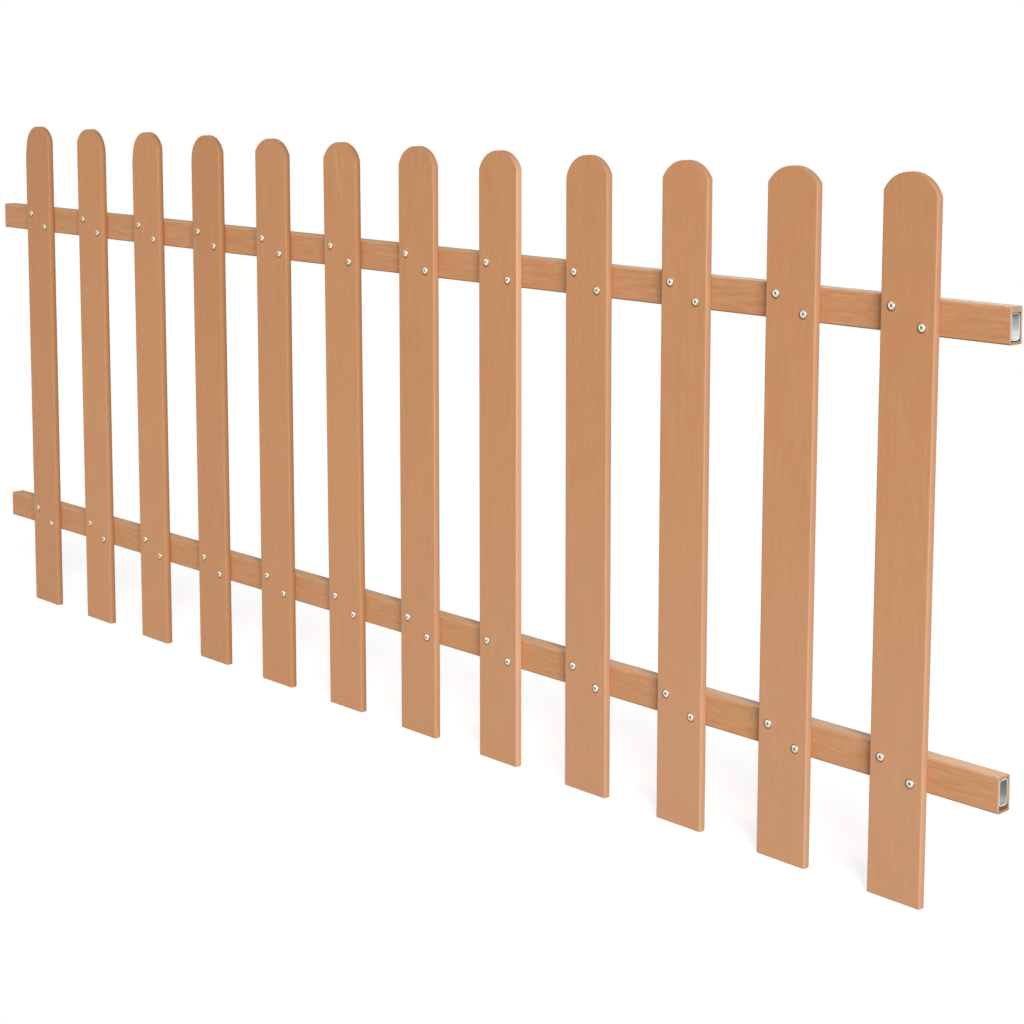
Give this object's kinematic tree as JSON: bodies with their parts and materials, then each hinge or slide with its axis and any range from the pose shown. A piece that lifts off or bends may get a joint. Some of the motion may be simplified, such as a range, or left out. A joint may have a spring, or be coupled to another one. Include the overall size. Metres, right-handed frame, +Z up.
{
  "type": "picket fence panel",
  "caption": "Low garden fence panel of flat round-headed wood composite pickets screwed to the front of two hollow steel-lined rails.",
  "frame": {"origin": "on the flat back face of the top rail, halfway along the panel, at the rail's mid height", "axes": "+X along the panel to the right as seen from the front, +Y out of the back of the rails, +Z up along the pickets"},
  "size_m": [2, 0.032, 0.8002],
  "materials": {
    "picket_composite": "matte, fine vertical brushing, wood fibre and plastic composite",
    "rail_composite": "matte, coarser brushing along the rail, wood fibre and plastic composite",
    "rail_steel": "galvanised, dull"
  },
  "bodies": {
    "root": {"picket_01": "picket_composite", "picket_02": "picket_composite", "picket_03": "picket_composite", "picket_04": "picket_composite", "picket_05": "picket_composite", "picket_06": "picket_composite", "picket_07": "picket_composite", "picket_08": "picket_composite", "picket_09": "picket_composite", "picket_10": "picket_composite", "picket_11": "picket_composite", "picket_12": "picket_composite", "top_rail": "rail_composite", "bottom_rail": "rail_composite", "top_rail_steel": "rail_steel", "bottom_rail_steel": "rail_steel"}
  },
  "joints": []
}
